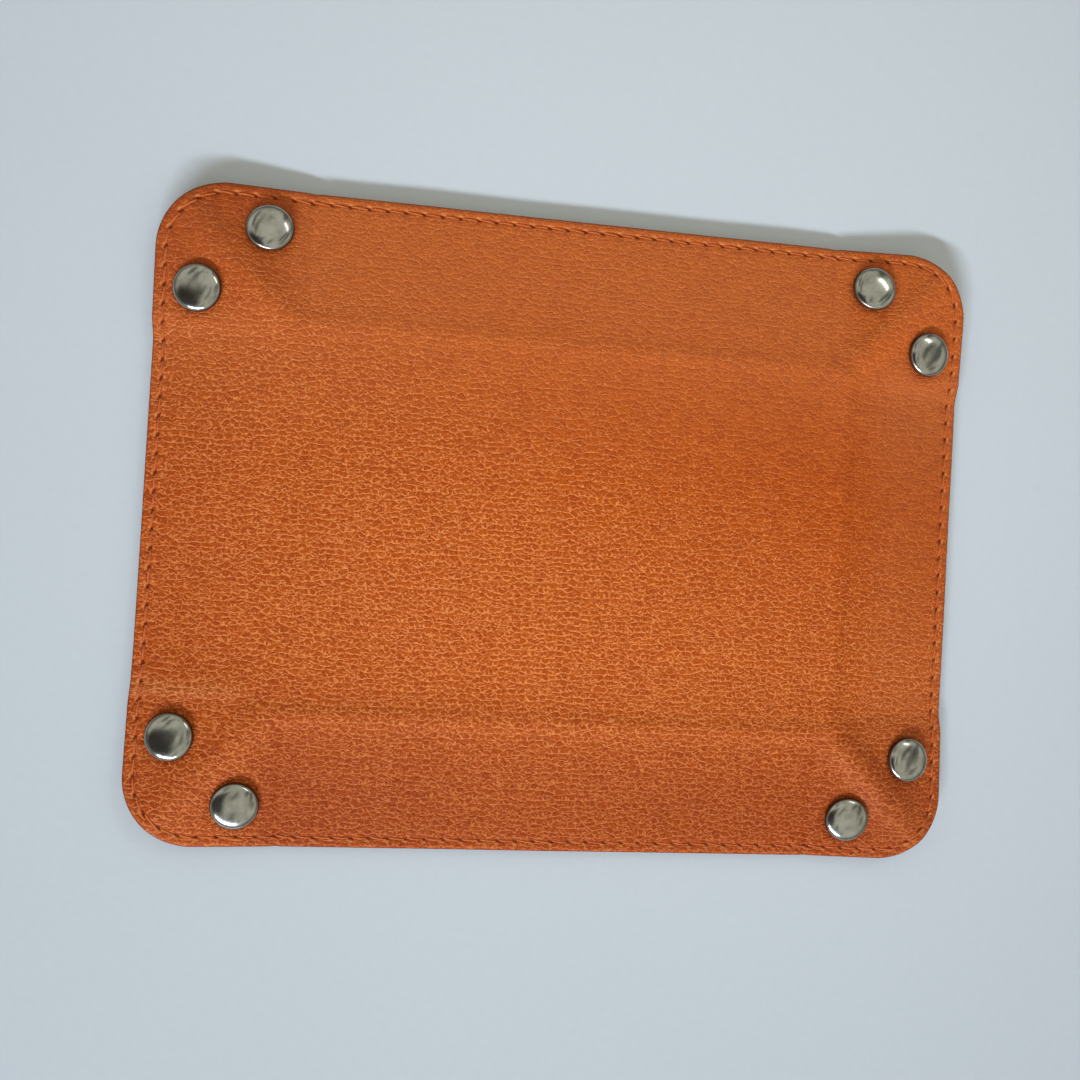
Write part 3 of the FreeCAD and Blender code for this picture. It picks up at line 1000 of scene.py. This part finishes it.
# Stitches: Geometry Nodes put an arched thread on every guide point
def stitchTree():
    tree = bpy.data.node_groups.new("edge stitches", "GeometryNodeTree")
    lengths = ("Length", "Thread Radius", "Arch", "Sink", "Drift")
    inputs = {"Guide": "Geometry", **dict.fromkeys(lengths, "Float"), "Seed": "Int", "Thread": "Material"}
    for socket, kind in inputs.items():
        tree.interface.new_socket(socket, in_out="INPUT", socket_type="NodeSocket" + kind)
    tree.interface.new_socket("Stitches", in_out="OUTPUT", socket_type="NodeSocketGeometry")
    source = tree.nodes.new("NodeGroupInput")
    given = {socket.name: Wire(tree, socket) for socket in source.outputs if socket.name}
    wire = Wire(tree)
    end = given["Length"] * 0.5
    low, drift = given["Sink"] * -1, given["Drift"]
    start = wire.add("ShaderNodeCombineXYZ", {}, {"X": end * -1, "Y": drift, "Z": low})
    middle = wire.add("ShaderNodeCombineXYZ", {}, {"Z": given["Arch"]})
    finish = wire.add("ShaderNodeCombineXYZ", {}, {"X": end, "Y": drift * -1, "Z": low})
    ends = {"Resolution": seam["threadSteps"], "Start": start, "Middle": middle, "End": finish}
    line = wire.add("GeometryNodeCurveQuadraticBezier", {}, ends)
    circle = {"Resolution": seam["threadSides"], "Radius": given["Thread Radius"]}
    ring = wire.add("GeometryNodeCurvePrimitiveCircle", {}, circle)
    tube = {"Curve": line, "Profile Curve": ring, "Fill Caps": True}
    thread = wire.add("GeometryNodeCurveToMesh", {}, tube)
    vectors = {"data_type": "FLOAT_VECTOR"}
    along = wire.add("GeometryNodeInputNamedAttribute", vectors, {"Name": "along"})
    up = wire.add("GeometryNodeInputNamedAttribute", vectors, {"Name": "up"})
    axes = {"primary_axis": "Z", "secondary_axis": "X"}
    turn = wire.add("FunctionNodeAxesToRotation", axes, {"Primary Axis": up, "Secondary Axis": along})
    limits = {0: (0, 0, -seam["swing"]), 1: (0, 0, seam["swing"]), "Seed": given["Seed"]}
    swing = wire.add("FunctionNodeRandomValue", vectors, limits)
    swing = wire.add("FunctionNodeEulerToRotation", {}, {0: swing})
    turn = wire.add("FunctionNodeRotateRotation", {"rotation_space": "LOCAL"}, {0: turn, 1: swing})
    limits = {0: seam["smallest"], 1: seam["largest"], "Seed": given["Seed"] + 1}
    size = wire.add("FunctionNodeRandomValue", vectors, limits)
    placed = {"Points": given["Guide"], "Instance": thread, "Rotation": turn, "Scale": size}
    sewn = wire.add("GeometryNodeInstanceOnPoints", {}, placed)
    real = wire.add("GeometryNodeRealizeInstances", {}, {"Geometry": sewn})
    shaded = wire.add("GeometryNodeSetMaterial", {}, {"Geometry": real, "Material": given["Thread"]})
    target = tree.nodes.new("NodeGroupOutput")
    tree.links.new(shaded.socket, target.inputs["Stitches"])
    return tree


def sewnOn(name, tree, guide):  # runs the tree on a guide and keeps the plain mesh
    mesh = bpy.data.meshes.new(name + "_guide")
    mesh.from_pydata(guide["place"], [], [])
    for key in ("along", "up"):
        setVectors(mesh, key, np.array(guide[key]))
    holder = inScene(name + "_guide", mesh)
    modifier = holder.modifiers.new("stitches", "NODES")
    modifier.node_group = tree
    values = {
        "Length": seam["pitch"] * seam["threadShare"],
        "Thread Radius": seam["threadRadius"],
        "Arch": seam["arch"],
        "Sink": seam["sink"],
        "Drift": seam["drift"],
        "Seed": seam["seed"],
        "Thread": sewingThread,
    }
    for item in tree.interface.items_tree:
        if item.item_type == "SOCKET" and item.name in values:
            modifier[item.identifier] = values[item.name]
    evaluated = holder.evaluated_get(bpy.context.evaluated_depsgraph_get())
    made = bpy.data.meshes.new_from_object(evaluated)
    made.name = name
    for key in ("along", "up"):
        made.attributes.remove(made.attributes[key])
    made.shade_smooth()
    bpy.data.objects.remove(holder)
    bpy.data.meshes.remove(mesh)
    return inScene(name, made)


def seamLine(run, outward=0.0):  # a quarter, from the middle of a long side to that of a short one
    angle = np.clip((run - sideRun) / turnRadius, 0, math.pi / 2)
    past = np.maximum(run - sideRun - turnRadius * math.pi / 2, 0)
    x = np.minimum(run, sideRun) + (turnRadius + outward) * np.sin(angle)
    y = endRun + (turnRadius + outward) * np.cos(angle) - past
    return np.stack([x, y], -1)


def seamOwner(place, corner):
    outX, outY = abs(place[0]) - sheet["creaseX"], abs(place[1]) - sheet["creaseY"]
    longName, shortName = corner.split("_")
    if outY - outX > math.sqrt(2) * sheet["diagonalBend"]:
        return longName if outX < -2 * sheet["bend"] else "stud_half_" + corner
    return shortName if outY < -sheet["bend"] else "socket_half_" + corner


def stitchGuides():
    guides, nudge = {}, seam["nudge"]
    rows = [(corner, side, np.arange(seam["stitchesPerQuarter"]) + 0.5, 0.0)
            for corner in corners for side in ("outer", "inner")]
    rows.append(("front_left", "outer", np.array(seam["overlap"]), seam["overlapShift"]))
    for corner, side, counts, shift in rows:
        runs, signs = counts * seam["pitch"], np.array(corners[corner])
        height = outerTop if side == "outer" else liningUnder
        plan = seamLine(runs, shift) * signs
        before, after = seamLine(runs - nudge, shift) * signs, seamLine(runs + nudge, shift) * signs
        place = laid(np.c_[plan, height(plan)])
        along = (laid(np.c_[after, height(plan)]) - laid(np.c_[before, height(plan)])) * np.prod(signs)
        inward = laid(np.c_[plan * seam["towardsMiddle"], height(plan)]) - place
        up = np.cross(inward, along) if side == "outer" else np.cross(along, inward)
        for i in range(len(runs)):
            guide = guides.setdefault(seamOwner(plan[i], corner), {"place": [], "along": [], "up": []})
            guide["place"].append(place[i])
            guide["along"].append(along[i] / np.linalg.norm(along[i]))
            guide["up"].append(up[i] / np.linalg.norm(up[i]))
    return guides


stitches = stitchTree()
for owner, guide in stitchGuides().items():
    piece = sewnOn("stitches_" + owner, stitches, guide)
    if owner.startswith("stud"):
        bendStudHalf(piece, owner.removeprefix("stud_half_"))
    elif owner.startswith("socket"):
        bendSocketHalf(piece, owner.removeprefix("socket_half_"))
    else:
        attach(piece, owner + "_wall")
print("stitches:", 4 * seam["stitchesPerQuarter"], "on each face")

solidFinishes = {
    "board": greyBoard,
    "post": snapNickel,
    "stud": snapNickel,
    "socket": snapNickel,
    "spring": springSteel,
    "cap": capNickel,
    "cover": coverLeather,
    "lining": liningLeather,
}
for name, node in frame["nodes"].items():
    node.data.materials.clear()
    node.data.materials.append(solidFinishes[name.split("_")[0]])
print("solids kept in view:", sum(not node.hide_render for node in frame["nodes"].values()))


# Table, light and camera
table = {
    "size": 8.0,
    "tone": (0.68, 0.705, 0.735, 1),
    # the table is painted darker away from its middle, as light falls off
    "shade": (0.53, 0.552, 0.58, 1),
    "middle": (0.02, 0.06, 0.0),  # where the painted pool of light on the table is brightest
    "reach": (0.02, 0.34),
    "clouds": (9.0, 3.0),  # waves a metre, and detail
    "cloudShare": 0.15,
    "specks": (420.0, 2.0),
    "speckShare": 0.2,
    "rough": (0.5, 0.15),
    "texture": 0.1 * mm,
    "drop": sheet["wallHeight"] - joints["front_wall_fold"]["pos_m"][2],  # reach of the folded walls
}


def tableTop():
    material, shader, wire = newMaterial("pale table", **{"Specular IOR Level": 0.25})
    place = wire.add("ShaderNodeTexCoord", {}, {}, "Object")
    cloudy, mottled = wire.noise(place, *table["clouds"]), wire.noise(place, *table["specks"])
    # painted light falloff, with random clouds and specks
    falloffAndClouds = wire.vector("DISTANCE", place, table["middle"], out="Value").step(*table["reach"])
    falloffAndClouds = falloffAndClouds + (cloudy - 0.5) * table["cloudShare"]
    falloffAndClouds = falloffAndClouds + (mottled - 0.5) * table["speckShare"]
    colour = wire.mix(falloffAndClouds, table["tone"], table["shade"])
    rough = table["rough"][0] + mottled * table["rough"][1]
    plug(shader, Base_Color=colour, Roughness=rough, Normal=wire.bump(0.25, table["texture"], mottled))
    half = table["size"] / 2
    points = np.array([(-half, -half, 0), (half, -half, 0), (half, half, 0), (-half, half, 0)])
    floor = newPiece("table_top", points, [(0, 1, 2, 3)], material)
    -table["drop"]
    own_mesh(floor)


tableTop()
lamps = {
    "key": {"place": (-1.0, -3.25, 1.85), "size": (2.6, 0.22), "power": 168, "colour": (0.8, 0.92, 1.08)},
    "fill": {"place": (0.9, 0.95, 1.3), "size": (0.55, 0.2), "power": 1.5, "colour": (0.98, 1.0, 0.98)},
}
for name, lamp in lamps.items():
    data = bpy.data.lights.new(name, "AREA")
    data.shape, data.energy, data.color = "RECTANGLE", lamp["power"], lamp["colour"]
    data.size, data.size_y = lamp["size"]
    light = inScene(name, data)
    light.location = lamp["place"]
    light.rotation_euler = (-Vector(lamp["place"])).to_track_quat("-Z", "Y").to_euler()

room = {
    "ceiling": (0.69, 0.7, 0.61, 1),
    "panel": (0.14, 0.142, 0.122, 1),
    "panelSlant": math.radians(30),
    "panelStretch": (6.0, 1.2, 1.2),
    "panelEdge": (0.5, 0.6),
    "wall": (0.17, 0.17, 0.16, 1),
    "wallEdge": (0.1, 0.55),  # upwards, where the walls give way to the ceiling
    "dark": (0.06, 0.052, 0.048, 1),
    "darkPlace": Vector((-0.6, -0.32, 0.73)),  # a dark patch that the caps mirror
    "darkReach": (math.cos(math.radians(33)), math.cos(math.radians(19))),
    "strength": 1.0,
}


def roomLight():
    world = bpy.data.worlds.new("room")
    world.use_nodes = True
    bpy.context.scene.world = world
    wire = Wire(world.node_tree)
    direction = wire.add("ShaderNodeTexCoord", {}, {}, "Generated")
    about = {"Vector": direction, "Angle": room["panelSlant"]}
    slanted = wire.add("ShaderNodeVectorRotate", {"rotation_type": "Z_AXIS"}, about)
    stretched = wire.vector("MULTIPLY", slanted, room["panelStretch"])
    stripes = wire.noise(stretched, 1.0).step(*room["panelEdge"])
    colour = wire.mix(stripes, room["ceiling"], room["panel"])
    colour = wire.mix(direction.parts()[2].step(*room["wallEdge"]), room["wall"], colour)
    towards = wire.vector("DOT_PRODUCT", direction, room["darkPlace"].normalized(), out="Value")
    colour = wire.mix(towards.step(*room["darkReach"]), colour, room["dark"])
    background = world.node_tree.nodes["Background"]
    world.node_tree.links.new(colour.socket, background.inputs["Color"])
    background.inputs["Strength"].default_value = room["strength"]


roomLight()
view = {
    "place": (-58.74 * mm, -6.87 * mm, 314.63 * mm),
    "turn": (0.389, -9.374, 3.361),  # degrees about x, y and z
    "lens": 38.6,
    "sensor": 36.0,
    "clipStart": 10.0 * mm,
}
cameraData = bpy.data.cameras.new("photo view")
cameraData.lens, cameraData.sensor_width = view["lens"], view["sensor"]
cameraData.clip_start = view["clipStart"]
camera = inScene("photo view", cameraData)
turn = Euler([math.radians(angle) for angle in view["turn"]])
camera.matrix_world = Matrix.Translation(view["place"]) @ turn.to_matrix().to_4x4()
bpy.context.scene.camera = camera
bpy.context.scene.view_settings.view_transform = "Standard"
print("table, light and camera set")
